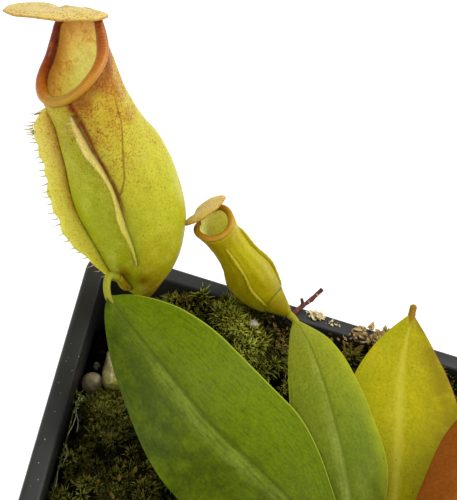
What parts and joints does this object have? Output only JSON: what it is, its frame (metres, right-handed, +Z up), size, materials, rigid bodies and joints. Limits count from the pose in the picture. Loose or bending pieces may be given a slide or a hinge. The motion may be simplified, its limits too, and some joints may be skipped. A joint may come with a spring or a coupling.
{
  "type": "potted pitcher plant",
  "caption": "Young tropical pitcher plant in a square black nursery pot, with mossy growing mix, broad leaves and insect-trapping pitchers with lids.",
  "frame": {"origin": "middle of the pot's underside, on the surface that it stands on", "axes": "+Z up, X and Y along the sides of the square pot; the large pitcher leans towards -X and +Y"},
  "size_m": [0.1249, 0.1141, 0.1373],
  "materials": {
    "pot": "satin black moulded plastic",
    "growing_mix": "damp dark peat and bark",
    "moss": "soft living moss",
    "stem": "smooth green plant skin",
    "leaf_green": "waxy green leaf",
    "leaf_yellow": "waxy yellow-green leaf",
    "leaf_orange": "waxy orange-brown leaf",
    "pitcher_body": "smooth lime-green pitcher skin",
    "pitcher_rim": "glossy ribbed brown rim",
    "pitcher_lid": "speckled golden lid",
    "twig": "dry reddish-brown twig",
    "prill": "beige resin-coated bead",
    "chip": "pale fibrous bark",
    "pebble": "matt pale grit"
  },
  "bodies": {
    "root": {"pot": "pot", "growing_mix": "growing_mix", "moss_back_left": "moss", "moss_back_right": "moss", "moss_left": "moss", "moss_front": "moss", "moss_right": "moss", "stem": "stem", "leaf_1": "leaf_green", "leaf_2": "leaf_green", "leaf_3": "leaf_yellow", "leaf_4": "leaf_orange", "leaf_5": "leaf_green", "leaf_6": "leaf_green", "leaf_7": "leaf_green", "pitcher_large_cup": "pitcher_body", "pitcher_large_rim": "pitcher_rim", "pitcher_large_lid": "pitcher_lid", "pitcher_small_cup": "pitcher_body", "pitcher_small_rim": "pitcher_rim", "pitcher_small_lid": "pitcher_lid", "twig": "twig", "fertiliser_prill": "prill", "pale_chip": "chip", "pale_pebble": "pebble"}
  },
  "joints": []
}
